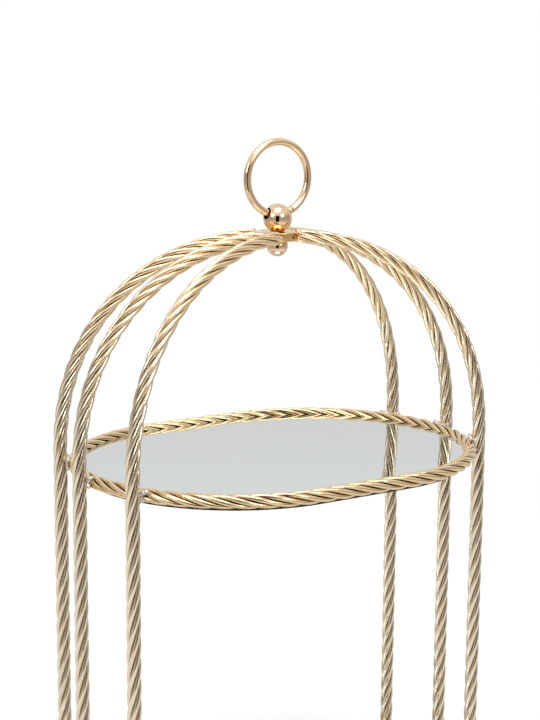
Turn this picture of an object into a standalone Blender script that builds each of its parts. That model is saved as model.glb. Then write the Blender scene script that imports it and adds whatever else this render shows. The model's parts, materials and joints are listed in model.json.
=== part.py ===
"""Two-tier cake stand: six rope-wire uprights that arch over into a dome, two oval mirror trays,
a drum hub with a ball finial and a swinging ring handle.

Metres, +Z up. The origin is on the floor, under the hub. X runs along the trays' long axis.
"""
import math

import bmesh
import bpy
from mathutils import Vector

# Rope wire
ROPE_RADIUS = 0.0050
WIRE_SIDES = 12
GAP = 0.0003

# Oval trays: two half circles joined by straight sides, measured on the rim's centreline
TRAY_END_RADIUS = 0.114
TRAY_HALF_STRAIGHT = 0.036
TRAY_END_STEPS = 20

# Heights above the floor
LOWER_RIM_Z = 0.040
TIER_SPACING = 0.274
UPPER_RIM_Z = LOWER_RIM_Z + TIER_SPACING

# Posts stand outside the rim: one at each tip, and two beside it round the end
POST_OFFSET = 2 * ROPE_RADIUS + GAP
SIDE_POST_ANGLE = math.radians(25.4)

# Dome ribs: a rounded quarter arch from the top of each post to the hub
DOME_SPRING = 0.0085
DOME_RISE = 0.160
DOME_EXPONENT = 2.16
RIB_SPACING_AT_HUB = 0.01035
SIDE_RIB_END_RADIUS = 0.0180
RIB_STEPS = 16

# Trays: mirror and backing board, with heights from the rim's centreline
MIRROR_THICKNESS = 0.0050
MIRROR_RISE = 0.0003
BOARD_THICKNESS = 0.0018
BOARD_DROP = ROPE_RADIUS + GAP
BOARD_INSET = 0.0030

# Hub and the stud through it
HUB_Z = UPPER_RIM_Z + DOME_RISE
HUB_RADIUS = 0.0153
HUB_HEIGHT = 0.0064
HUB_EDGE = 0.0005
STUD_RADIUS = 0.0025
STUD_BORE_RADIUS = STUD_RADIUS + GAP

# Finial ball and ball nut, with their centres measured from the hub's
BALL_RADIUS = 0.0104
BALL_OFFSET = 0.0125
NUT_RADIUS = 0.0076
NUT_OFFSET = -0.0074
STUD_TOP = BALL_OFFSET - 0.0016
STUD_BOTTOM = NUT_OFFSET - 0.0030

# Ring handle, which swings in a straight hole across the ball
RING_RADIUS = 0.0258
RING_STOCK_RADIUS = 0.0027
RING_SEAM_ANGLE = math.radians(27)
RING_SEAM_GAP = 0.0004
RING_STEPS = 48
RING_SIDES = 12
CROSS_HOLE_RADIUS = 0.0040
CROSS_HOLE_RISE = 0.0036
CROSS_HOLE_Z = HUB_Z + BALL_OFFSET + CROSS_HOLE_RISE
RING_SAG_IN_HOLE = 0.0010

# End caps under the posts
CAP_RADIUS = 0.0066
CAP_HEIGHT = 0.0140
CAP_FLOOR = 0.0035
CAP_EDGE = 0.0010
POST_BOTTOM_Z = CAP_FLOOR + GAP

CHAMPAGNE_GOLD = ((0.72, 0.56, 0.38, 1.0), 0.25, 1.0)
POLISHED_GOLD = ((0.86, 0.62, 0.42, 1.0), 0.08, 1.0)
SILVERED_GLASS = ((0.80, 0.83, 0.82, 1.0), 0.03, 1.0)
BLACK_BOARD = ((0.015, 0.015, 0.016, 1.0), 0.60, 0.0)
BLACK_RUBBER = ((0.03, 0.03, 0.03, 1.0), 0.70, 0.0)
PLATED_STEEL = ((0.60, 0.58, 0.54, 1.0), 0.35, 1.0)


def clear_scene():
    for item in list(bpy.data.objects):
        bpy.data.objects.remove(item, do_unlink=True)


def make_material(name, finish):
    colour, roughness, metallic = finish
    material = bpy.data.materials.new(name)
    material.use_nodes = True
    shader = material.node_tree.nodes["Principled BSDF"]
    shader.inputs["Base Color"].default_value = colour
    shader.inputs["Roughness"].default_value = roughness
    shader.inputs["Metallic"].default_value = metallic
    material.diffuse_color = colour
    return material


def make_object(name, bm, material, location=(0, 0, 0)):
    """Turn a bmesh into a named, smoothly shaded object."""
    bmesh.ops.recalc_face_normals(bm, faces=bm.faces)
    mesh = bpy.data.meshes.new(name)
    bm.to_mesh(mesh)
    bm.free()
    mesh.materials.append(material)
    mesh.shade_smooth()
    mesh.set_sharp_from_angle(angle=math.radians(35))
    item = bpy.data.objects.new(name, mesh)
    item.location = location
    bpy.context.scene.collection.objects.link(item)
    return item


def sweep_circle(path, plane_normal, radius, sides, closed=False):
    """Sweep a circle along a path that lies in one plane, as a bmesh."""
    bm = bmesh.new()
    rings = []
    count = len(path)
    for index, point in enumerate(path):
        before = path[index - 1] if index or closed else point
        after = path[(index + 1) % count] if closed or index < count - 1 else point
        tangent = (after - before).normalized()
        outward = tangent.cross(plane_normal).normalized()
        ring = []
        for side in range(sides):
            angle = 2 * math.pi * side / sides
            ring.append(bm.verts.new(point + radius * (math.cos(angle) * outward
                                                       + math.sin(angle) * plane_normal)))
        rings.append(ring)
    pairs = list(zip(rings, rings[1:]))
    if closed:
        pairs.append((rings[-1], rings[0]))
    for ring, following in pairs:
        for side in range(sides):
            beside = (side + 1) % sides
            bm.faces.new((ring[side], ring[beside], following[beside], following[side]))
    if not closed:
        bm.faces.new(reversed(rings[0]))
        bm.faces.new(rings[-1])
    return bm


def oval_outline(inset=0.0):
    """The tray's oval at z = 0, moved inwards by inset."""
    radius = TRAY_END_RADIUS - inset
    points = []
    for centre_x, start in ((TRAY_HALF_STRAIGHT, -math.pi / 2), (-TRAY_HALF_STRAIGHT, math.pi / 2)):
        for step in range(TRAY_END_STEPS + 1):
            angle = start + math.pi * step / TRAY_END_STEPS
            points.append(Vector((centre_x + radius * math.cos(angle), radius * math.sin(angle), 0)))
    return points


def add_plate(name, inset, top, thickness, material):
    """An oval plate with its upper face at height top."""
    bm = bmesh.new()
    face = bm.faces.new([bm.verts.new(point) for point in oval_outline(inset)])
    grown = bmesh.ops.extrude_face_region(bm, geom=[face])
    raised = [part for part in grown["geom"] if isinstance(part, bmesh.types.BMVert)]
    bmesh.ops.translate(bm, verts=raised, vec=(0, 0, thickness))
    return make_object(name, bm, material, (0, 0, top - thickness))


def add_cylinder(name, radius, low, high, material, sides=32, edge=0.0):
    """An upright cylinder on the Z axis between two heights, with chamfered rims if edge is given."""
    bm = bmesh.new()
    bmesh.ops.create_cone(bm, cap_ends=True, segments=sides, radius1=radius, radius2=radius,
                          depth=high - low)
    if edge:
        rims = [part for part in bm.edges if len(part.link_faces) == 2
                and any(len(face.verts) == sides for face in part.link_faces)]
        bmesh.ops.bevel(bm, geom=rims, offset=edge, segments=2, affect="EDGES", profile=0.5)
    return make_object(name, bm, material, (0, 0, (low + high) / 2))


def cut(item, cutter):
    """Take the cutter's shape out of an object with a live modifier."""
    cutter.hide_render = True
    cutter.display_type = "WIRE"
    modifier = item.modifiers.new(cutter.name, "BOOLEAN")
    modifier.operation = "DIFFERENCE"
    modifier.solver = "EXACT"
    modifier.object = cutter


def post_places():
    """Name, post position and rib start of each upright."""
    reach = TRAY_END_RADIUS + POST_OFFSET
    side_x = TRAY_HALF_STRAIGHT + reach * math.cos(SIDE_POST_ANGLE)
    side_y = reach * math.sin(SIDE_POST_ANGLE)
    places = []
    for end, sign in (("left", -1), ("right", 1)):
        tip = sign * (TRAY_HALF_STRAIGHT + reach)
        places.append((end + "_tip", Vector((tip, 0, 0)), Vector((0, 0, 0))))
        for side, turn in (("front", -1), ("back", 1)):
            post = Vector((sign * side_x, turn * side_y, 0))
            places.append((end + "_" + side, post, Vector((0, turn * RIB_SPACING_AT_HUB, 0))))
    return places


def rib_path(post, start):
    """Centreline from the hub, over the dome and down the post."""
    reach = post - start
    spring_z = UPPER_RIM_Z + DOME_SPRING
    rise = DOME_RISE - DOME_SPRING
    power = 2 / DOME_EXPONENT
    path = []
    for step in range(RIB_STEPS + 1):
        angle = math.pi / 2 * step / RIB_STEPS
        along = math.sin(angle) ** power
        height = max(math.cos(angle), 0.0) ** power
        path.append(start + along * reach + Vector((0, 0, spring_z + rise * height)))
    path.append(post + Vector((0, 0, POST_BOTTOM_Z)))
    return path


def add_uprights(material):
    """Six lengths of wire: the tip ribs sit against the hub, and the side ribs stop just short of it."""
    for name, post, start in post_places():
        plane_normal = (post - start).normalized().cross(Vector((0, 0, 1)))
        bm = sweep_circle(rib_path(post, start), plane_normal, ROPE_RADIUS, WIRE_SIDES)
        upright = make_object("upright_" + name, bm, material)
        end_radius = HUB_RADIUS + GAP if name.endswith("tip") else SIDE_RIB_END_RADIUS
        cutter = add_cylinder("cope_" + name, end_radius, HUB_Z - 0.03, HUB_Z + 0.03, material, sides=64)
        cut(upright, cutter)


def add_foot_caps(material):
    """A cup under each post, with the post's end in its bore."""
    for name, post, _ in post_places():
        cap = add_cylinder("foot_cap_" + name, CAP_RADIUS, 0, CAP_HEIGHT, material,
                           sides=24, edge=CAP_EDGE)
        cap.location += post
        bore = add_cylinder("cap_bore_" + name, ROPE_RADIUS + GAP, CAP_FLOOR, CAP_HEIGHT + 0.005,
                            material, sides=24)
        bore.location += post
        cut(cap, bore)


def add_tray(tier, rim_z, rope, mirror, board):
    rim = sweep_circle(oval_outline(), Vector((0, 0, 1)), ROPE_RADIUS, WIRE_SIDES, closed=True)
    make_object(tier + "_rim", rim, rope, (0, 0, rim_z))
    add_plate(tier + "_mirror", ROPE_RADIUS + GAP, rim_z + MIRROR_RISE, MIRROR_THICKNESS, mirror)
    add_plate(tier + "_board", BOARD_INSET, rim_z - BOARD_DROP, BOARD_THICKNESS, board)


def add_ball(name, radius, centre, seat, material):
    """A ball cut flat where it seats on the hub, at the height seat."""
    bm = bmesh.new()
    bmesh.ops.create_uvsphere(bm, u_segments=28, v_segments=18, radius=radius)
    towards_hub = 1 if seat > centre else -1
    cut_plane = bmesh.ops.bisect_plane(bm, geom=bm.verts[:] + bm.edges[:] + bm.faces[:],
                                       plane_co=(0, 0, seat - centre), plane_no=(0, 0, towards_hub),
                                       clear_outer=True)
    rim = [part for part in cut_plane["geom_cut"] if isinstance(part, bmesh.types.BMEdge)]
    bmesh.ops.edgeloop_fill(bm, edges=rim)
    return make_object(name, bm, material, (0, 0, centre))


def add_hub(polished, steel):
    """Drum, stud, finial ball and ball nut, stacked on the Z axis."""
    half = HUB_HEIGHT / 2
    hub = add_cylinder("hub", HUB_RADIUS, HUB_Z - half, HUB_Z + half, polished, sides=48, edge=HUB_EDGE)
    ball = add_ball("finial_ball", BALL_RADIUS, HUB_Z + BALL_OFFSET, HUB_Z + half + GAP, polished)
    nut = add_ball("ball_nut", NUT_RADIUS, HUB_Z + NUT_OFFSET, HUB_Z - half - GAP, polished)
    add_cylinder("finial_stud", STUD_RADIUS, HUB_Z + STUD_BOTTOM, HUB_Z + STUD_TOP, steel, sides=16)

    bore = add_cylinder("stud_bore", STUD_BORE_RADIUS, HUB_Z + STUD_BOTTOM - GAP,
                        HUB_Z + STUD_TOP + GAP, steel, sides=16)
    for piece in (hub, ball, nut):
        cut(piece, bore)

    cross_hole = add_cylinder("cross_hole", CROSS_HOLE_RADIUS, -2 * BALL_RADIUS, 2 * BALL_RADIUS,
                              steel, sides=32)
    cross_hole.rotation_euler = (0, math.pi / 2, 0)
    cross_hole.location = (0, 0, CROSS_HOLE_Z)
    cut(ball, cross_hole)


def add_ring_handle(material):
    """An open ring whose lowest point lies in the ball; its origin is on the swing axis."""
    centre_z = RING_RADIUS - RING_SAG_IN_HOLE
    seam = RING_SEAM_GAP / RING_RADIUS
    start = -math.pi / 2 + RING_SEAM_ANGLE + seam / 2
    sweep = 2 * math.pi - seam
    path = []
    for step in range(RING_STEPS + 1):
        angle = start + sweep * step / RING_STEPS
        path.append(Vector((RING_RADIUS * math.cos(angle), 0,
                            centre_z + RING_RADIUS * math.sin(angle))))
    bm = sweep_circle(path, Vector((0, 1, 0)), RING_STOCK_RADIUS, RING_SIDES)
    make_object("ring_handle", bm, material, (0, 0, CROSS_HOLE_Z))


def build():
    clear_scene()
    rope = make_material("rope_wire", CHAMPAGNE_GOLD)
    polished = make_material("polished_gold", POLISHED_GOLD)
    mirror = make_material("mirror_glass", SILVERED_GLASS)
    board = make_material("base_board", BLACK_BOARD)
    rubber = make_material("cap_rubber", BLACK_RUBBER)
    steel = make_material("stud_steel", PLATED_STEEL)

    add_uprights(rope)
    add_foot_caps(rubber)
    add_tray("lower", LOWER_RIM_Z, rope, mirror, board)
    add_tray("upper", UPPER_RIM_Z, rope, mirror, board)
    add_hub(polished, steel)
    add_ring_handle(polished)


build()
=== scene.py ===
import json
import math

import bmesh
import bpy
from mathutils import Matrix, Vector


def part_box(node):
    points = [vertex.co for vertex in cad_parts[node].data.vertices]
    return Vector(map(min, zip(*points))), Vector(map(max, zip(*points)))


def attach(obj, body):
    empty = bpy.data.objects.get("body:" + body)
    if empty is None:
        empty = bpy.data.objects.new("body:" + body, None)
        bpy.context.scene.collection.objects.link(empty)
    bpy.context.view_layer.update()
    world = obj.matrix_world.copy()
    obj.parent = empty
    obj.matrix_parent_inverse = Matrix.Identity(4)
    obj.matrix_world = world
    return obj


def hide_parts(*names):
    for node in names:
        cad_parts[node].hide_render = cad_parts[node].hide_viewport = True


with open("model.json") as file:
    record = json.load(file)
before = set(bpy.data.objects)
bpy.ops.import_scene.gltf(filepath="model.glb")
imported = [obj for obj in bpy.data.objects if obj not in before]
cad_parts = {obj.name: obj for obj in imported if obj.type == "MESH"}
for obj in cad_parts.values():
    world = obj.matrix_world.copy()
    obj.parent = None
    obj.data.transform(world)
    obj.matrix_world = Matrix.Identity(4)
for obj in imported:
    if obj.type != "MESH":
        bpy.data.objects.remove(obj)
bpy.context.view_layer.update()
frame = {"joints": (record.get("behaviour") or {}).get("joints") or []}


# ---------------------------------------------------------------- places read from the frame

def middle(node):
    low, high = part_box(node)
    return (low + high) / 2


def extent(node):
    low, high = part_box(node)
    return high - low


ROPE_RADIUS = extent("upper_rim").z / 2
RIM_END_RADIUS = extent("upper_rim").y / 2 - ROPE_RADIUS
RIM_HALF_STRAIGHT = extent("upper_rim").x / 2 - ROPE_RADIUS - RIM_END_RADIUS
UPPER_RIM_Z = middle("upper_rim").z
LOWER_RIM_Z = middle("lower_rim").z
HUB_Z = middle("hub").z
HUB_RADIUS = extent("hub").x / 2
HUB_HEIGHT = extent("hub").z
SWING = Vector(frame["joints"][0]["pos_m"])
POSTS = {name: middle("foot_cap_" + name) * Vector((1, 1, 0))
         for name in ("left_front", "left_tip", "left_back", "right_front", "right_tip", "right_back")}
POST_BOTTOM_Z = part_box("upright_left_tip")[0].z

# The dome ribs' rounded quarter arch, as the frame has it
DOME_SPRING = 0.0085
DOME_EXPONENT = 2.16
RIB_SPACING_AT_HUB = 0.01035
SIDE_RIB_END_RADIUS = 0.0180

# Rope wire: strands laid side by side round a core
STRANDS = 5
STRAND_SPACING = 0.0147
POINTS_PER_STRAND = 16
HOLLOW_DEPTH = 0.52
ROPE_STEP = 0.0016
STRAND_RADIUS = 0.37
POST_TURN_STEP = 0.4
RIM_JOIN_REACH = 0.00005
COPE_HEIGHT = 0.06
ROPE_SMOOTH_ANGLE = 60

# Fittings
HUB_SIDES = 128
HUB_EDGE_ROUND = 0.0006
CROSS_HOLE_RADIUS = 0.0040
RING_STOCK_RADIUS = 0.0027
RING_SEAM_ANGLE = math.radians(27)
RING_SEAM_GAP = 0.0004
RING_END_ROUND = 0.0005

# Tray plates: how far each reaches past its CAD plate, and its edge's bevel
MIRROR_TUCK = 0.0012
MIRROR_BEVEL = 0.0006
BOARD_TUCK = 0.0
BOARD_BEVEL = 0.0004

# End caps
CAP_FOOT_ROUND = 0.0012
CAP_FIRST_GROOVE = 0.0045
CAP_GROOVE_SPACING = 0.0025
CAP_GROOVE_DEPTH = 0.0005
CAP_CLEARANCE = 0.0003

# Each weld run's lumps: distance from the contact along the rim, rise above the rim, and size
WELD_LUMPS = ((0.0024, 0.0016, (0.0026, 0.0021, 0.0026)),
              (0.0051, 0.0032, (0.0025, 0.0021, 0.0017)),
              (0.0034, -0.0020, (0.0026, 0.0019, 0.0022)),
              (0.0074, 0.0042, (0.0018, 0.0017, 0.0012)))
BEAD_UNEVENNESS = 0.34
TIER_WELD_SEED = 40
HUB_WELD_SEED = 11
HUB_WELD_REACH = 0.0011
HUB_WELD_RISE = 0.0012
HUB_WELD_SIZE = (0.0036, 0.0022, 0.0023)


# ---------------------------------------------------------------- small modelling helpers

def deselect_all():
    if bpy.context.object and bpy.context.object.mode != "OBJECT":
        bpy.ops.object.mode_set(mode="OBJECT")
    bpy.ops.object.select_all(action="DESELECT")


def make_active(item):
    deselect_all()
    item.select_set(True)
    bpy.context.view_layer.objects.active = item


def named(name):
    item = bpy.context.object
    item.name = name
    item.data.name = name
    return item


def pick(item, kind, test):
    """In edit mode, select only the vertices, edges or faces that pass the test."""
    bpy.ops.object.mode_set(mode="EDIT")
    bpy.ops.mesh.select_mode(type=kind)
    bpy.ops.mesh.select_all(action="DESELECT")
    bm = bmesh.from_edit_mesh(item.data)
    parts = {"VERT": bm.verts, "EDGE": bm.edges, "FACE": bm.faces}[kind]
    for part in parts:
        if test(part):
            part.select_set(True)
    bm.select_flush_mode()
    bmesh.update_edit_mesh(item.data)


def object_mode():
    bpy.ops.object.mode_set(mode="OBJECT")


def apply_modifier(item, modifier):
    make_active(item)
    bpy.ops.object.modifier_apply(modifier=modifier.name)


def settle(item):
    """Put the piece's place into its mesh and leave the object at the origin."""
    make_active(item)
    bpy.ops.object.transform_apply(location=True, rotation=True, scale=True)


def cut_out(item, cutter):
    modifier = item.modifiers.new("cut", "BOOLEAN")
    modifier.operation = "DIFFERENCE"
    modifier.solver = "EXACT"
    modifier.object = cutter
    apply_modifier(item, modifier)
    bpy.data.objects.remove(cutter, do_unlink=True)


def smooth(item, degrees=40, flat_ends=False):
    """Shade smooth up to an angle; flat_ends keeps the many-sided faces truly flat."""
    make_active(item)
    bpy.ops.object.shade_smooth_by_angle(angle=math.radians(degrees))
    if flat_ends:
        for face in item.data.polygons:
            face.use_smooth = len(face.vertices) <= 4


def dress(item, material, node=None, body="frame"):
    """Give a finished piece its material and its body, and hide the CAD node that it replaces."""
    item.data.materials.clear()
    item.data.materials.append(material)
    if node:
        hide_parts(node)
    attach(item, body)


def outward(item):
    pick(item, "FACE", lambda face: True)
    bpy.ops.mesh.normals_make_consistent(inside=False)
    object_mode()


# ---------------------------------------------------------------- rope wire

def lay_profile():
    """Radius of the rope's section at each step from a strand's crest to the hollow beside it."""
    centre = 1 - STRAND_RADIUS
    half = POINTS_PER_STRAND // 2
    radii = []
    for step in range(half + 1):
        angle = math.pi / STRANDS * step / half
        reach = max(STRAND_RADIUS ** 2 - (centre * math.sin(angle)) ** 2, 0)
        radii.append(max(centre * math.cos(angle) + math.sqrt(reach), HOLLOW_DEPTH))
    return radii


def straight_rope(name, length, turns, phase):
    """A straight right-hand rope that stands on the XY plane, its first crest turned by phase."""
    deselect_all()
    bpy.ops.mesh.primitive_circle_add(vertices=STRANDS * POINTS_PER_STRAND, radius=ROPE_RADIUS,
                                      rotation=(0, 0, phase))
    rope = named(name)
    settle(rope)
    for step, radius in enumerate(lay_profile()):
        places = {step, (POINTS_PER_STRAND - step) % POINTS_PER_STRAND}
        pick(rope, "VERT", lambda vert: vert.index % POINTS_PER_STRAND in places)
        bpy.ops.transform.resize(value=(radius, radius, 1), center_override=(0, 0, 0))
    object_mode()
    screw = rope.modifiers.new("lay", "SCREW")
    screw.axis = "Z"
    screw.angle = 2 * math.pi * turns
    screw.screw_offset = length
    screw.steps = screw.render_steps = round(length / ROPE_STEP)
    screw.use_merge_vertices = False
    apply_modifier(rope, screw)
    note_lay(rope, length, turns)
    return rope


def note_lay(rope, length, turns):
    """Store each point's place in the untwisted strands, and how deep in a hollow it lies."""
    mesh = rope.data
    mesh.attributes.new("lay", "FLOAT_VECTOR", "POINT")
    mesh.attributes.new("hollow", "FLOAT", "POINT")
    lay = mesh.attributes["lay"].data
    hollow = mesh.attributes["hollow"].data
    for index, vert in enumerate(mesh.vertices):
        unwound = -2 * math.pi * turns * vert.co.z / length
        across = vert.co.x * math.cos(unwound) - vert.co.y * math.sin(unwound)
        beside = vert.co.x * math.sin(unwound) + vert.co.y * math.cos(unwound)
        lay[index].vector = (across, beside, vert.co.z)
        radius = math.hypot(vert.co.x, vert.co.y) / ROPE_RADIUS
        hollow[index].value = (1 - radius) / (1 - HOLLOW_DEPTH)


def path_length(points, closed):
    pairs = list(zip(points, points[1:]))
    if closed:
        pairs.append((points[-1], points[0]))
    return sum((after - before).length for before, after in pairs)


def guide_curve(points, closed):
    data = bpy.data.curves.new("guide", "CURVE")
    data.dimensions = "3D"
    data.twist_mode = "MINIMUM"
    spline = data.splines.new("POLY")
    spline.points.add(len(points) - 1)
    for place, point in zip(spline.points, points):
        place.co = (*point, 1)
    spline.use_cyclic_u = closed
    guide = bpy.data.objects.new("guide", data)
    bpy.context.scene.collection.objects.link(guide)
    return guide


def bend(rope, points, closed):
    guide = guide_curve(points, closed)
    modifier = rope.modifiers.new("bend", "CURVE")
    modifier.object = guide
    modifier.deform_axis = "POS_Z"
    apply_modifier(rope, modifier)
    bpy.data.objects.remove(guide, do_unlink=True)


def rib_path(post, start):
    """Centreline of an upright: from the hub over the dome and down the post."""
    reach = post - start
    spring_z = UPPER_RIM_Z + DOME_SPRING
    rise = HUB_Z - spring_z
    power = 2 / DOME_EXPONENT
    steps = 120
    points = []
    for step in range(steps + 1):
        angle = math.pi / 2 * step / steps
        along = math.sin(angle) ** power
        height = max(math.cos(angle), 0.0) ** power
        points.append(start + along * reach + Vector((0, 0, spring_z + rise * height)))
    post_steps = 40
    for step in range(1, post_steps + 1):
        height = spring_z + (POST_BOTTOM_Z - spring_z) * step / post_steps
        points.append(Vector((post.x, post.y, height)))
    return points


def oval_path(height):
    """Centreline of a tray's rim."""
    steps = 90
    points = []
    for side in (1, -1):
        for step in range(steps + 1):
            angle = math.pi * (step / steps - 0.5)
            points.append(Vector((side * (RIM_HALF_STRAIGHT + RIM_END_RADIUS * math.cos(angle)),
                                  side * RIM_END_RADIUS * math.sin(angle), height)))
        straight_steps = 12
        for step in range(1, straight_steps):
            along = RIM_HALF_STRAIGHT * (1 - 2 * step / straight_steps)
            points.append(Vector((side * along, side * RIM_END_RADIUS, height)))
    return points


def make_upright(name, post, phase, material):
    """A post and its dome rib: a tip rib ends on the hub, a side rib just short of it."""
    side = 0 if "tip" in name else math.copysign(1, post.y)
    points = rib_path(post, Vector((0, side * RIB_SPACING_AT_HUB, 0)))
    length = path_length(points, False)
    rope = straight_rope("rope_" + name, length, length / (STRANDS * STRAND_SPACING), phase)
    pick(rope, "EDGE", lambda edge: edge.is_boundary)
    bpy.ops.mesh.fill_holes(sides=0)
    object_mode()
    bend(rope, points, False)
    outward(rope)
    deselect_all()
    bpy.ops.mesh.primitive_cylinder_add(vertices=HUB_SIDES, depth=COPE_HEIGHT, location=(0, 0, HUB_Z),
                                        radius=SIDE_RIB_END_RADIUS if side else HUB_RADIUS)
    cut_out(rope, named("cope"))
    smooth(rope, ROPE_SMOOTH_ANGLE)
    dress(rope, material, "upright_" + name)


def make_rim(tier, height, material):
    points = oval_path(height)
    length = path_length(points, True)
    strands_laid = round(length / STRAND_SPACING)
    rope = straight_rope("rope_" + tier + "_rim", length, strands_laid / STRANDS, 0)
    bend(rope, points, True)
    pick(rope, "VERT", lambda vert: True)
    bpy.ops.mesh.remove_doubles(threshold=RIM_JOIN_REACH)
    object_mode()
    outward(rope)
    smooth(rope, ROPE_SMOOTH_ANGLE)
    dress(rope, material, tier + "_rim")


# ---------------------------------------------------------------- weld beads

def add_bead(place, along, size, seed):
    """One lump of weld metal: size is its reach along the joint, across it and up."""
    deselect_all()
    bpy.ops.mesh.primitive_ico_sphere_add(subdivisions=4, radius=1, location=place, scale=size,
                                          rotation=(0, 0, math.atan2(along.y, along.x)))
    bead = bpy.context.object
    settle(bead)
    pick(bead, "VERT", lambda vert: True)
    bpy.ops.transform.vertex_random(offset=BEAD_UNEVENNESS * min(size), uniform=0.3, normal=0.8,
                                    seed=seed)
    bpy.ops.mesh.vertices_smooth(factor=0.6, repeat=2)
    object_mode()
    return bead


def join_beads(name, beads, material):
    deselect_all()
    for bead in beads:
        bead.select_set(True)
    bpy.context.view_layer.objects.active = beads[0]
    bpy.ops.object.join()
    welds = named(name)
    outward(welds)
    smooth(welds, ROPE_SMOOTH_ANGLE)
    dress(welds, material)


def make_tier_welds(tier, height, material):
    """Two ragged runs of weld where each post touches the rim, one on either side of the post."""
    beads = []
    for index, post in enumerate(POSTS.values()):
        centre = Vector((math.copysign(RIM_HALF_STRAIGHT, post.x), 0, 0))
        out = (post - centre).normalized()
        along = Vector((-out.y, out.x, 0))
        contact = post - out * ROPE_RADIUS + Vector((0, 0, height))
        for side in (-1, 1):
            for lump, (reach, rise, size) in enumerate(WELD_LUMPS):
                place = contact + side * reach * along + Vector((0, 0, rise))
                seed = TIER_WELD_SEED + 20 * index + 5 * side + lump
                beads.append(add_bead(place, along, size, seed))
    join_beads(tier + "_welds", beads, material)


def make_hub_welds(material):
    """Weld metal that fills the step from each rib's end to the hub's side."""
    beads = []
    for end in (-1, 1):
        for side in (-1, 0, 1):
            if side:
                out = Vector((end * math.sqrt(SIDE_RIB_END_RADIUS ** 2 - RIB_SPACING_AT_HUB ** 2),
                              side * RIB_SPACING_AT_HUB, 0)).normalized()
            else:
                out = Vector((end, 0, 0))
            along = Vector((-out.y, out.x, 0))
            place = out * (HUB_RADIUS + HUB_WELD_REACH) + Vector((0, 0, HUB_Z + HUB_WELD_RISE))
            beads.append(add_bead(place, along, HUB_WELD_SIZE, HUB_WELD_SEED + 3 * end + side))
    join_beads("hub_welds", beads, material)


# ---------------------------------------------------------------- trays

def make_plate(name, node, tuck, bevel, materials):
    """An oval plate on its CAD node's place, its rim tucked under the rope and bevelled."""
    face_material, edge_material = materials
    low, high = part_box(node)
    radius = (high.y - low.y) / 2 + tuck
    half_straight = (high.x - low.x) / 2 + tuck - radius
    deselect_all()
    points = 160
    bpy.ops.mesh.primitive_circle_add(vertices=points, radius=radius, fill_type="NGON",
                                      location=(0, 0, low.z), rotation=(0, 0, math.pi / points))
    plate = named(name)
    settle(plate)
    for side in (1, -1):
        pick(plate, "VERT", lambda vert: vert.co.x * side > 0)
        bpy.ops.transform.translate(value=(side * half_straight, 0, 0))
    pick(plate, "FACE", lambda face: True)
    bpy.ops.mesh.extrude_region_move(TRANSFORM_OT_translate={"value": (0, 0, high.z - low.z)})
    pick(plate, "EDGE", lambda edge: abs(edge.verts[0].co.z - edge.verts[1].co.z) < 1e-6)
    bpy.ops.mesh.bevel(offset=bevel, segments=3, affect="EDGES")
    object_mode()
    outward(plate)
    smooth(plate, 35, flat_ends=True)
    dress(plate, face_material, node)
    plate.data.materials.append(edge_material)
    for face in plate.data.polygons:
        face.material_index = 0 if len(face.vertices) > 4 else 1


# ---------------------------------------------------------------- fittings

def make_hub(material):
    deselect_all()
    bpy.ops.mesh.primitive_cylinder_add(vertices=HUB_SIDES, radius=HUB_RADIUS, depth=HUB_HEIGHT,
                                        location=(0, 0, HUB_Z))
    hub = named("hub_drum")
    settle(hub)
    pick(hub, "EDGE", lambda edge: len(edge.link_faces) == 2
         and any(len(face.verts) > 4 for face in edge.link_faces))
    bpy.ops.mesh.bevel(offset=HUB_EDGE_ROUND, segments=4, affect="EDGES")
    object_mode()
    smooth(hub, flat_ends=True)
    dress(hub, material, "hub")


def make_ball(name, node, radius, centre_z, seat_up, material, drill=False):
    """A ball with a flat seat towards the hub, cross-drilled for the ring if asked."""
    low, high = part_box(node)
    seat = high.z if seat_up else low.z
    deselect_all()
    bpy.ops.mesh.primitive_uv_sphere_add(segments=96, ring_count=64, radius=radius,
                                         location=(0, 0, centre_z))
    ball = named(name)
    settle(ball)
    pick(ball, "FACE", lambda face: True)
    bpy.ops.mesh.bisect(plane_co=(0, 0, seat), plane_no=(0, 0, 1), use_fill=True,
                        clear_outer=seat_up, clear_inner=not seat_up)
    object_mode()
    if drill:
        deselect_all()
        bpy.ops.mesh.primitive_cylinder_add(vertices=64, radius=CROSS_HOLE_RADIUS, depth=4 * radius,
                                            location=SWING, rotation=(0, math.pi / 2, 0))
        cut_out(ball, named("drill"))
    smooth(ball)
    dress(ball, material, node)


def make_ring(material):
    """The open ring handle: a round section spun almost all the way round, its ends rounded."""
    low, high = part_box("ring_handle")
    radius = (high.x - low.x) / 2 - RING_STOCK_RADIUS
    centre = Vector((0, 0, high.z - RING_STOCK_RADIUS - radius))
    seam = RING_SEAM_GAP / radius
    start = -math.pi / 2 + RING_SEAM_ANGLE + seam / 2
    deselect_all()
    section = centre + radius * Vector((math.cos(start), 0, math.sin(start)))
    bpy.ops.mesh.primitive_circle_add(vertices=32, radius=RING_STOCK_RADIUS, fill_type="NGON",
                                      location=section, rotation=(0, -start, 0))
    ring = named("ring_handle_round")
    settle(ring)
    pick(ring, "FACE", lambda face: True)
    bpy.ops.mesh.spin(steps=180, angle=2 * math.pi - seam, center=centre, axis=(0, -1, 0))
    object_mode()
    outward(ring)
    pick(ring, "EDGE", lambda edge: any(len(face.verts) > 4 for face in edge.link_faces))
    bpy.ops.mesh.bevel(offset=RING_END_ROUND, segments=3, affect="EDGES")
    object_mode()
    smooth(ring)
    dress(ring, material, "ring_handle", body="handle")


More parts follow.
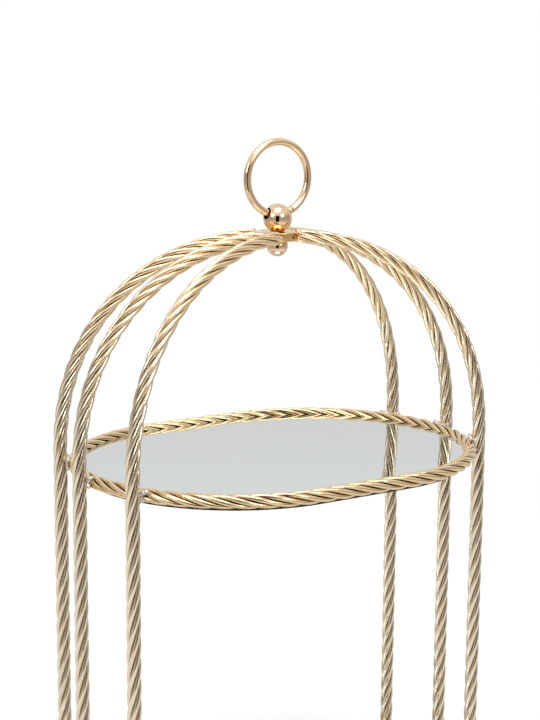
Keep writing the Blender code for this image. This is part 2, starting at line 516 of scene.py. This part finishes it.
def turned(name, profile, place):
    """A closed piece turned about an upright axis, from radii and heights along its outline."""
    first_radius, height = profile[0]
    deselect_all()
    bpy.ops.mesh.primitive_circle_add(vertices=64, radius=first_radius,
                                      location=place + Vector((0, 0, height)))
    piece = named(name)
    settle(piece)
    pick(piece, "VERT", lambda vert: True)
    for (radius, height), (next_radius, next_height) in zip(profile, profile[1:]):
        bpy.ops.mesh.extrude_edges_move(TRANSFORM_OT_translate={"value": (0, 0, next_height - height)})
        scale = next_radius / radius
        bpy.ops.transform.resize(value=(scale, scale, 1),
                                 center_override=(place.x, place.y, next_height))
    object_mode()
    pick(piece, "EDGE", lambda edge: edge.is_boundary)
    bpy.ops.mesh.fill_holes(sides=0)
    object_mode()
    outward(piece)
    return piece


def quarter(radius, height, reach, start):
    """Points of a quarter round of size reach that turns from angle start, about (radius, height)."""
    steps = 5
    angles = [math.radians(start + 90 * step / steps) for step in range(steps + 1)]
    return [(radius + reach * math.cos(angle), height + reach * math.sin(angle)) for angle in angles]


def make_cap(name, place, material):
    """A rubber cup with a rounded foot, three grip grooves and a rounded lip round the post."""
    low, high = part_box("foot_cap_" + name)
    radius = (high.x - low.x) / 2
    top = high.z
    bore = ROPE_RADIUS + CAP_CLEARANCE
    lip = (radius - bore) / 2
    profile = quarter(radius - CAP_FOOT_ROUND, low.z + CAP_FOOT_ROUND, CAP_FOOT_ROUND, -90)
    for groove in range(3):
        middle_height = CAP_FIRST_GROOVE + CAP_GROOVE_SPACING * groove
        for turn in range(7):
            angle = math.pi * turn / 6
            profile.append((radius - CAP_GROOVE_DEPTH * math.sin(angle),
                            middle_height - CAP_GROOVE_DEPTH * math.cos(angle)))
    profile += quarter(radius - lip, top - lip, lip, 0)
    profile += quarter(bore + lip, top - lip, lip, 90)[1:]
    profile.append((bore, POST_BOTTOM_Z - CAP_CLEARANCE))
    cap = turned("cap_" + name, profile, place)
    smooth(cap, flat_ends=True)
    dress(cap, material, "foot_cap_" + name)


# ---------------------------------------------------------------- shader groups

class Nodes:
    """Adds nodes to a tree and links them, with plain calls for the ones used often."""

    def __init__(self, tree):
        self.tree = tree

    def add(self, kind, **settings):
        node = self.tree.nodes.new(kind)
        for key, value in settings.items():
            setattr(node, key, value)
        return node

    def feed(self, socket, value):
        """Link an output to the socket, or set the socket's own value."""
        if isinstance(value, bpy.types.NodeSocket):
            self.tree.links.new(value, socket)
        else:
            socket.default_value = value

    def math(self, operation, first, second=0.0):
        node = self.add("ShaderNodeMath", operation=operation)
        self.feed(node.inputs[0], first)
        self.feed(node.inputs[1], second)
        return node.outputs[0]

    def ramp(self, value, low, high, out_low=0.0, out_high=1.0):
        """Map a value smoothly from low..high to out_low..out_high."""
        node = self.add("ShaderNodeMapRange", interpolation_type="SMOOTHSTEP")
        for socket, number in zip(node.inputs, (value, low, high, out_low, out_high)):
            self.feed(socket, number)
        return node.outputs[0]

    def mix(self, factor, first, second, blend="MIX"):
        node = self.add("ShaderNodeMix", data_type="RGBA", blend_type=blend)
        self.feed(node.inputs["Factor"], factor)
        self.feed(node.inputs[6], first)
        self.feed(node.inputs[7], second)
        return node.outputs[2]

    def scaled(self, vector, scale):
        node = self.add("ShaderNodeVectorMath", operation="MULTIPLY")
        self.feed(node.inputs[0], vector)
        self.feed(node.inputs[1], scale)
        return node.outputs[0]

    def noise(self, vector, scale, detail=4.0, roughness=0.55):
        node = self.add("ShaderNodeTexNoise")
        self.feed(node.inputs["Vector"], vector)
        self.feed(node.inputs["Scale"], scale)
        self.feed(node.inputs["Detail"], detail)
        self.feed(node.inputs["Roughness"], roughness)
        return node.outputs[0]

    def place(self):
        return self.add("ShaderNodeTexCoord").outputs["Object"]

    def group(self, tree, **values):
        """Place a shader group with its own values; returns the group's outputs."""
        node = self.add("ShaderNodeGroup", node_tree=tree)
        for key, value in values.items():
            self.feed(node.inputs[key.replace("_", " ")], value)
        return node.outputs

    def bump(self, height, strength, distance):
        node = self.add("ShaderNodeBump")
        self.feed(node.inputs["Strength"], strength)
        self.feed(node.inputs["Distance"], distance)
        self.feed(node.inputs["Height"], height)
        return node.outputs[0]


def new_group(name, inputs, outputs):
    """A shader group with named sockets; returns its tree, its nodes and both of its ends."""
    kinds = {"value": "NodeSocketFloat", "vector": "NodeSocketVector", "colour": "NodeSocketColor"}
    tree = bpy.data.node_groups.new(name, "ShaderNodeTree")
    for label, kind in inputs:
        tree.interface.new_socket(name=label, in_out="INPUT", socket_type=kinds[kind])
    for label, kind in outputs:
        tree.interface.new_socket(name=label, in_out="OUTPUT", socket_type=kinds[kind])
    nodes = Nodes(tree)
    return tree, nodes, nodes.add("NodeGroupInput").outputs, nodes.add("NodeGroupOutput").inputs


def fine_marks_group():
    """Polishing and drawing marks: fine streaks, as a mask."""
    tree, nodes, given, wanted = new_group("fine_marks", (("Vector", "vector"), ("Fineness", "value")),
                                           (("Marks", "value"),))
    coarse = nodes.noise(given["Vector"], given["Fineness"], 3.0, 0.6)
    fine = nodes.noise(given["Vector"], nodes.math("MULTIPLY", given["Fineness"], 2.7), 4.0, 0.7)
    both = nodes.math("MULTIPLY", nodes.math("ADD", coarse, fine), 0.5)
    nodes.feed(wanted["Marks"], nodes.ramp(both, 0.36, 0.64))
    return tree


def smudges_group():
    """Finger marks and settled dust: soft clouds broken up by a finer grain, as a mask."""
    tree, nodes, given, wanted = new_group("smudges", (("Vector", "vector"), ("Size", "value"),
                                                       ("Amount", "value")), (("Mask", "value"),))
    clouds = nodes.noise(given["Vector"], nodes.math("DIVIDE", 1.0, given["Size"]), 3.0, 0.5)
    grain = nodes.noise(given["Vector"], nodes.math("DIVIDE", 9.0, given["Size"]), 6.0, 0.7)
    soft = nodes.ramp(clouds, 0.45, 0.70)
    broken = nodes.math("MULTIPLY", soft, nodes.ramp(grain, 0.30, 0.65, 0.4, 1.0))
    nodes.feed(wanted["Mask"], nodes.math("MULTIPLY", broken, given["Amount"]))
    return tree


def tone_and_painted_warmth_group():
    """Plating colour, a little uneven all over, going from pale below to warm above: the change with
    height is painted reflection warmth.
    """
    tree, nodes, given, wanted = new_group(
        "plating_tone",
        (("Vector", "vector"), ("Pale", "colour"), ("Warm", "colour"), ("Low", "value"),
         ("High", "value")), (("Color", "colour"),))
    split = nodes.add("ShaderNodeSeparateXYZ")
    nodes.feed(split.inputs[0], given["Vector"])
    # Painted reflection: the warmth follows height alone.
    height = nodes.add("ShaderNodeMapRange", interpolation_type="SMOOTHSTEP")
    nodes.feed(height.inputs[0], split.outputs["Z"])
    nodes.feed(height.inputs[1], given["Low"])
    nodes.feed(height.inputs[2], given["High"])
    uneven = nodes.ramp(nodes.noise(given["Vector"], 55.0, 3.0), 0.35, 0.65, -0.18, 0.18)
    warmth = nodes.add("ShaderNodeClamp")
    nodes.feed(warmth.inputs[0], nodes.math("ADD", height.outputs[0], uneven))
    nodes.feed(wanted["Color"], nodes.mix(warmth.outputs[0], given["Pale"], given["Warm"]))
    return tree


def grain_group():
    """The tooth of a matt surface, as a height and as a mask of its low spots."""
    tree, nodes, given, wanted = new_group(
        "surface_grain", (("Vector", "vector"), ("Fineness", "value")),
        (("Height", "value"), ("Pits", "value")))
    grain = nodes.noise(given["Vector"], given["Fineness"], 5.0, 0.65)
    nodes.feed(wanted["Height"], grain)
    nodes.feed(wanted["Pits"], nodes.ramp(grain, 0.52, 0.34))
    return tree


# ---------------------------------------------------------------- materials

def new_material(name):
    material = bpy.data.materials.new(name)
    material.use_nodes = True
    return material, Nodes(material.node_tree), material.node_tree.nodes["Principled BSDF"].inputs


def rope_plating(name, pale, warm, low, high, hollow_shade_start):
    """Champagne plating on rope: bright crests with drawing marks; painted shade darkens the flanks and
    paints the hollows black.
    """
    material, nodes, shader = new_material(name)
    place = nodes.place()
    lay = nodes.add("ShaderNodeAttribute", attribute_name="lay").outputs["Vector"]
    hollow = nodes.add("ShaderNodeAttribute", attribute_name="hollow").outputs["Fac"]
    tone = nodes.group(TONE_AND_PAINTED_WARMTH, Vector=place, Pale=pale, Warm=warm, Low=low, High=high)["Color"]
    marks = nodes.group(MARKS, Vector=nodes.scaled(lay, (1, 1, 0.030)), Fineness=1100.0)["Marks"]
    streaked = nodes.mix(nodes.math("MULTIPLY", marks, 0.18), tone, (0.42, 0.27, 0.13, 1), "MULTIPLY")
    # Painted shade: a warm brown darkening that deepens towards each hollow.
    flank_shade = nodes.ramp(hollow, 0.20, 0.60, 0.0, 0.16)
    shaded = nodes.mix(flank_shade, streaked, (0.62, 0.36, 0.16, 1), "MULTIPLY")
    # Painted shade: the bottom of each hollow is painted near black.
    hollow_black_shade = nodes.ramp(hollow, hollow_shade_start, hollow_shade_start + 0.36)
    nodes.feed(shader["Base Color"], nodes.mix(hollow_black_shade, shaded, (0.016, 0.009, 0.004, 1)))
    dull = nodes.group(SMUDGES, Vector=place, Size=0.012, Amount=0.06)["Mask"]
    rough = nodes.math("ADD", nodes.ramp(marks, 0.0, 1.0, 0.06, 0.13), dull)
    nodes.feed(shader["Roughness"], nodes.math("ADD", rough, nodes.math("MULTIPLY", hollow_black_shade, 0.25)))
    nodes.feed(shader["Normal"], nodes.bump(marks, 0.25, 0.00006))
    shader["Metallic"].default_value = 1.0
    return material


def polished_plating(name, pale, warm):
    """Rose-gold plating, buffed: near mirror bright with faint buffing marks and finger smudges."""
    material, nodes, shader = new_material(name)
    place = nodes.place()
    tone = nodes.group(TONE_AND_PAINTED_WARMTH, Vector=place, Pale=pale, Warm=warm, Low=HUB_Z - 0.02,
                       High=HUB_Z + 0.06)["Color"]
    marks = nodes.group(MARKS, Vector=nodes.scaled(place, (1, 1, 0.25)), Fineness=900.0)["Marks"]
    smudge = nodes.group(SMUDGES, Vector=place, Size=0.009, Amount=1.0)["Mask"]
    nodes.feed(shader["Base Color"], nodes.mix(nodes.math("MULTIPLY", smudge, 0.10), tone,
                                               (0.55, 0.36, 0.20, 1)))
    rough = nodes.math("ADD", nodes.ramp(marks, 0.0, 1.0, 0.035, 0.060),
                       nodes.math("MULTIPLY", smudge, 0.05))
    nodes.feed(shader["Roughness"], rough)
    nodes.feed(shader["Normal"], nodes.bump(marks, 0.10, 0.00003))
    shader["Metallic"].default_value = 1.0
    return material


def silvered_glass():
    """Mirror face: cool silver with a breath of dust and wiping marks."""
    material, nodes, shader = new_material("silvered_glass")
    place = nodes.place()
    smudge = nodes.group(SMUDGES, Vector=place, Size=0.045, Amount=1.0)["Mask"]
    wipes = nodes.group(MARKS, Vector=nodes.scaled(place, (0.12, 1, 1)), Fineness=260.0)["Marks"]
    veil = nodes.math("ADD", nodes.math("MULTIPLY", smudge, 0.05), nodes.math("MULTIPLY", wipes, 0.015))
    nodes.feed(shader["Base Color"], nodes.mix(veil, (0.690, 0.725, 0.715, 1), (0.60, 0.61, 0.60, 1)))
    nodes.feed(shader["Roughness"], nodes.math("ADD", 0.012, nodes.math("MULTIPLY", veil, 0.9)))
    shader["Metallic"].default_value = 1.0
    return material


def ground_glass():
    """The mirror's ground edge: greenish glass with the tooth of the wheel."""
    material, nodes, shader = new_material("ground_glass_edge")
    grain = nodes.group(GRAIN, Vector=nodes.place(), Fineness=2600.0)
    nodes.feed(shader["Base Color"], nodes.mix(grain["Pits"], (0.66, 0.76, 0.73, 1),
                                               (0.36, 0.47, 0.44, 1)))
    nodes.feed(shader["Roughness"], nodes.ramp(grain["Height"], 0.3, 0.7, 0.22, 0.48))
    nodes.feed(shader["Normal"], nodes.bump(grain["Height"], 0.35, 0.00010))
    return material


def black_board():
    """Black painted fibreboard with a faint orange peel, fibres and a little dust."""
    material, nodes, shader = new_material("black_board")
    place = nodes.place()
    grain = nodes.group(GRAIN, Vector=place, Fineness=1400.0)
    fibres = nodes.group(MARKS, Vector=nodes.scaled(place, (0.2, 1, 1)), Fineness=500.0)["Marks"]
    dust = nodes.group(SMUDGES, Vector=place, Size=0.030, Amount=0.14)["Mask"]
    painted = nodes.mix(fibres, (0.009, 0.009, 0.010, 1), (0.020, 0.019, 0.018, 1))
    nodes.feed(shader["Base Color"], nodes.mix(nodes.math("MULTIPLY", dust, 0.2), painted,
                                               (0.16, 0.15, 0.14, 1)))
    nodes.feed(shader["Roughness"], nodes.math("ADD", nodes.ramp(grain["Pits"], 0, 1, 0.42, 0.60), dust))
    nodes.feed(shader["Normal"], nodes.bump(grain["Height"], 0.30, 0.00012))
    shader["Specular IOR Level"].default_value = 0.25
    return material


def cap_rubber():
    """Moulded black rubber, fine stipple, dusty and scuffed where it stands."""
    material, nodes, shader = new_material("cap_rubber_black")
    place = nodes.place()
    grain = nodes.group(GRAIN, Vector=place, Fineness=2200.0)
    dust = nodes.group(SMUDGES, Vector=place, Size=0.008, Amount=0.6)["Mask"]
    split = nodes.add("ShaderNodeSeparateXYZ")
    nodes.feed(split.inputs[0], place)
    near_floor = nodes.ramp(split.outputs["Z"], 0.004, 0.0004)
    worn = nodes.math("MAXIMUM", nodes.math("MULTIPLY", near_floor, 0.45),
                      nodes.math("MULTIPLY", dust, 0.4))
    moulded = nodes.mix(grain["Pits"], (0.026, 0.026, 0.027, 1), (0.014, 0.014, 0.015, 1))
    nodes.feed(shader["Base Color"], nodes.mix(worn, moulded, (0.095, 0.090, 0.085, 1)))
    nodes.feed(shader["Roughness"], nodes.math("ADD", nodes.ramp(grain["Height"], 0.3, 0.7, 0.55, 0.70),
                                               nodes.math("MULTIPLY", worn, 0.2)))
    nodes.feed(shader["Normal"], nodes.bump(grain["Height"], 0.40, 0.00015))
    return material


def weld_metal(name, pale, warm):
    """Weld metal: silvery and pitted, with heat stain, or brushed over with plating."""
    material, nodes, shader = new_material(name)
    place = nodes.place()
    grain = nodes.group(GRAIN, Vector=place, Fineness=900.0)
    tone = nodes.group(TONE_AND_PAINTED_WARMTH, Vector=place, Pale=pale, Warm=warm, Low=LOWER_RIM_Z, High=HUB_Z)["Color"]
    stain = nodes.group(SMUDGES, Vector=place, Size=0.004, Amount=0.8)["Mask"]
    stained = nodes.mix(stain, tone, (0.48, 0.33, 0.20, 1))
    nodes.feed(shader["Base Color"], nodes.mix(nodes.math("MULTIPLY", grain["Pits"], 0.7), stained,
                                               (0.10, 0.08, 0.07, 1)))
    nodes.feed(shader["Roughness"], nodes.ramp(grain["Height"], 0.3, 0.7, 0.18, 0.36))
    nodes.feed(shader["Normal"], nodes.bump(grain["Height"], 0.5, 0.00040))
    shader["Metallic"].default_value = 1.0
    return material


def stud_steel():
    """Zinc-plated rod with turning marks round it."""
    material, nodes, shader = new_material("stud_zinc")
    place = nodes.place()
    marks = nodes.group(MARKS, Vector=nodes.scaled(place, (0.1, 0.1, 1)), Fineness=1800.0)["Marks"]
    stain = nodes.group(SMUDGES, Vector=place, Size=0.003, Amount=0.5)["Mask"]
    nodes.feed(shader["Base Color"], nodes.mix(stain, (0.62, 0.61, 0.58, 1), (0.46, 0.42, 0.35, 1)))
    nodes.feed(shader["Roughness"], nodes.ramp(marks, 0.0, 1.0, 0.28, 0.42))
    nodes.feed(shader["Normal"], nodes.bump(marks, 0.3, 0.00005))
    shader["Metallic"].default_value = 1.0
    return material


# ---------------------------------------------------------------- build

MARKS = fine_marks_group()
SMUDGES = smudges_group()
TONE_AND_PAINTED_WARMTH = tone_and_painted_warmth_group()
GRAIN = grain_group()

# DOME_WARM and RIM_WARM are the plating warmed to paint in warm reflections; the plating runs from
# POST_PALE to them by height.
POST_PALE = (0.86, 0.77, 0.62, 1)
DOME_WARM = (0.92, 0.73, 0.48, 1)
RIM_WARM = (0.86, 0.66, 0.40, 1)
# The last number is where each rope's painted black shade in the hollows begins.
ROPE = rope_plating("rope_plating", POST_PALE, DOME_WARM, UPPER_RIM_Z + 0.02, HUB_Z, 0.54)
RIM_ROPE = rope_plating("rim_plating", POST_PALE, RIM_WARM, LOWER_RIM_Z - 0.30, LOWER_RIM_Z, 0.38)
GOLD = polished_plating("polished_plating", (0.81, 0.61, 0.43, 1), (0.87, 0.63, 0.39, 1))
HUB_GOLD = polished_plating("hub_plating", (0.84, 0.54, 0.23, 1), (0.84, 0.52, 0.21, 1))
MIRROR = silvered_glass()
GLASS_EDGE = ground_glass()
BOARD = black_board()
RUBBER = cap_rubber()
WELD = weld_metal("weld_silver", (0.86, 0.85, 0.82, 1), (0.86, 0.82, 0.74, 1))
PLATED_WELD = weld_metal("weld_plated", POST_PALE, DOME_WARM)

for post_index, (post_name, post_place) in enumerate(POSTS.items()):
    make_upright(post_name, post_place, POST_TURN_STEP * post_index, ROPE)
    make_cap(post_name, post_place, RUBBER)
for tier_name, rim_height in (("upper", UPPER_RIM_Z), ("lower", LOWER_RIM_Z)):
    make_rim(tier_name, rim_height, RIM_ROPE)
    make_plate(tier_name + "_mirror_plate", tier_name + "_mirror", MIRROR_TUCK, MIRROR_BEVEL,
               (MIRROR, GLASS_EDGE))
    make_plate(tier_name + "_base_board", tier_name + "_board", BOARD_TUCK, BOARD_BEVEL,
               (BOARD, BOARD))
    make_tier_welds(tier_name, rim_height, WELD)
make_hub(HUB_GOLD)
make_hub_welds(PLATED_WELD)
BALL_RADIUS = extent("finial_ball").x / 2
make_ball("finial_ball_round", "finial_ball", BALL_RADIUS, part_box("finial_ball")[1].z - BALL_RADIUS,
          False, GOLD, drill=True)
NUT_RADIUS = extent("ball_nut").x / 2
make_ball("ball_nut_round", "ball_nut", NUT_RADIUS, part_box("ball_nut")[0].z + NUT_RADIUS, True, GOLD)
make_ring(GOLD)
bpy.data.objects["finial_stud"].material_slots[0].material = stud_steel()


# ---------------------------------------------------------------- floor, light and camera

CAMERA_AZIMUTH = math.radians(33.34)
CAMERA_DROP = math.radians(10.70)
CAMERA_ROLL = math.radians(0.40)
CAMERA_DISTANCE = 1.2115
CAMERA_SENSOR = 36
CAMERA_LENS = 83.483
AIM_RISE = 0.0693
AIM_LEFT = 0.00467
TABLE_RADIUS = 1.0


def make_floor():
    """A round white table top: whiter to the camera, so that it melts into the background."""
    deselect_all()
    bpy.ops.mesh.primitive_circle_add(vertices=96, radius=TABLE_RADIUS, fill_type="NGON")
    floor = named("studio_floor")
    material, nodes, shader = new_material("table_white")
    seen = nodes.add("ShaderNodeLightPath").outputs["Is Camera Ray"]
    nodes.feed(shader["Base Color"], nodes.mix(seen, (0.74, 0.73, 0.71, 1), (0.95, 0.95, 0.95, 1)))
    shader["Roughness"].default_value = 0.85
    floor.data.materials.append(material)


def make_world():
    """White behind the stand to the camera. What the metal reflects is a studio: darker at eye
    level and bright above, with a pale sheet behind the stand and a dark figure at the camera."""
    world = bpy.data.worlds.new("studio")
    world.use_nodes = True
    bpy.context.scene.world = world
    nodes = Nodes(world.node_tree)
    background = world.node_tree.nodes["Background"]
    direction = nodes.add("ShaderNodeTexCoord").outputs["Generated"]
    from_camera = nodes.add("ShaderNodeVectorRotate", rotation_type="Z_AXIS")
    nodes.feed(from_camera.inputs["Vector"], direction)
    nodes.feed(from_camera.inputs["Angle"], CAMERA_AZIMUTH)
    split = nodes.add("ShaderNodeSeparateXYZ")
    nodes.feed(split.inputs[0], from_camera.outputs[0])
    across, away, up = split.outputs
    sky = nodes.add("ShaderNodeValToRGB")
    nodes.feed(sky.inputs[0], nodes.math("ADD", nodes.math("MULTIPLY", up, 0.5), 0.5))
    stops = ((0.00, (0.90, 0.88, 0.85)), (0.30, (0.66, 0.63, 0.59)), (0.44, (0.50, 0.47, 0.44)),
             (0.54, (0.41, 0.38, 0.35)), (0.64, (0.55, 0.53, 0.50)), (0.80, (0.94, 0.94, 0.94)))
    while len(sky.color_ramp.elements) < len(stops):
        sky.color_ramp.elements.new(0.5)
    for element, (position, colour) in zip(sky.color_ramp.elements, stops):
        element.position = position
        element.color = (*colour, 1)
    backdrop = nodes.math("MULTIPLY", nodes.ramp(away, 0.30, 0.75), nodes.ramp(up, -0.45, -0.05))
    sheet = nodes.mix(nodes.ramp(up, 0.19, 0.28), (0.77, 0.77, 0.77, 1), (0.88, 0.88, 0.88, 1))
    lit = nodes.mix(backdrop, sky.outputs[0], sheet)
    beside_lens = nodes.ramp(nodes.math("ABSOLUTE", across), 0.27, 0.20)
    level_with_lens = nodes.ramp(nodes.math("ABSOLUTE", nodes.math("ADD", up, 0.03)), 0.45, 0.38)
    dark_figure = nodes.math("MULTIPLY", nodes.math("MULTIPLY", beside_lens, level_with_lens),
                             nodes.ramp(away, -0.2, -0.4))
    lit = nodes.mix(dark_figure, lit, (0.004, 0.004, 0.004, 1))
    seen = nodes.add("ShaderNodeLightPath").outputs["Is Camera Ray"]
    nodes.feed(background.inputs["Color"], nodes.mix(seen, lit, (1, 1, 1, 1)))
    background.inputs["Strength"].default_value = 1.0


def make_softbox(name, round_from_camera, elevation, distance, size, power):
    """A square soft light that looks at the upper tray, placed by two angles in degrees."""
    around = CAMERA_AZIMUTH - math.radians(round_from_camera)
    flat = Vector((-math.sin(around), -math.cos(around), 0)) * math.cos(math.radians(elevation))
    aim_point = Vector((0, 0, UPPER_RIM_Z))
    place = aim_point + distance * (flat + Vector((0, 0, math.sin(math.radians(elevation)))))
    data = bpy.data.lights.new(name, "AREA")
    data.shape = "SQUARE"
    data.size = size
    data.energy = power
    light = bpy.data.objects.new(name, data)
    bpy.context.scene.collection.objects.link(light)
    light.location = place
    light.rotation_euler = (aim_point - place).to_track_quat("-Z", "Y").to_euler()
    light.visible_camera = False


def make_camera():
    """The studio camera: round to the left of the stand, a little above the upper tray."""
    right = Vector((math.cos(CAMERA_AZIMUTH), -math.sin(CAMERA_AZIMUTH), 0))
    level = Vector((math.sin(CAMERA_AZIMUTH), math.cos(CAMERA_AZIMUTH), 0))
    look = level * math.cos(CAMERA_DROP) - Vector((0, 0, 1)) * math.sin(CAMERA_DROP)
    target = Vector((0, 0, UPPER_RIM_Z + AIM_RISE)) - AIM_LEFT * right
    data = bpy.data.cameras.new("studio_camera")
    data.sensor_width = CAMERA_SENSOR
    data.lens = CAMERA_LENS
    camera = bpy.data.objects.new("studio_camera", data)
    bpy.context.scene.collection.objects.link(camera)
    camera.location = target - look * CAMERA_DISTANCE
    aim = look.to_track_quat("-Z", "Y").to_matrix().to_4x4()
    camera.rotation_euler = (aim @ Matrix.Rotation(CAMERA_ROLL, 4, "Z")).to_euler()
    bpy.context.scene.camera = camera


make_floor()
make_world()
make_softbox("softbox_top", round_from_camera=0, elevation=76, distance=1.9, size=1.3, power=13)
for box_name, box_angle in (("softbox_left", -42), ("softbox_right", 42)):
    make_softbox(box_name, round_from_camera=box_angle, elevation=27, distance=2.0, size=0.75, power=6.5)
make_camera()
bpy.context.scene.view_settings.view_transform = "Standard"
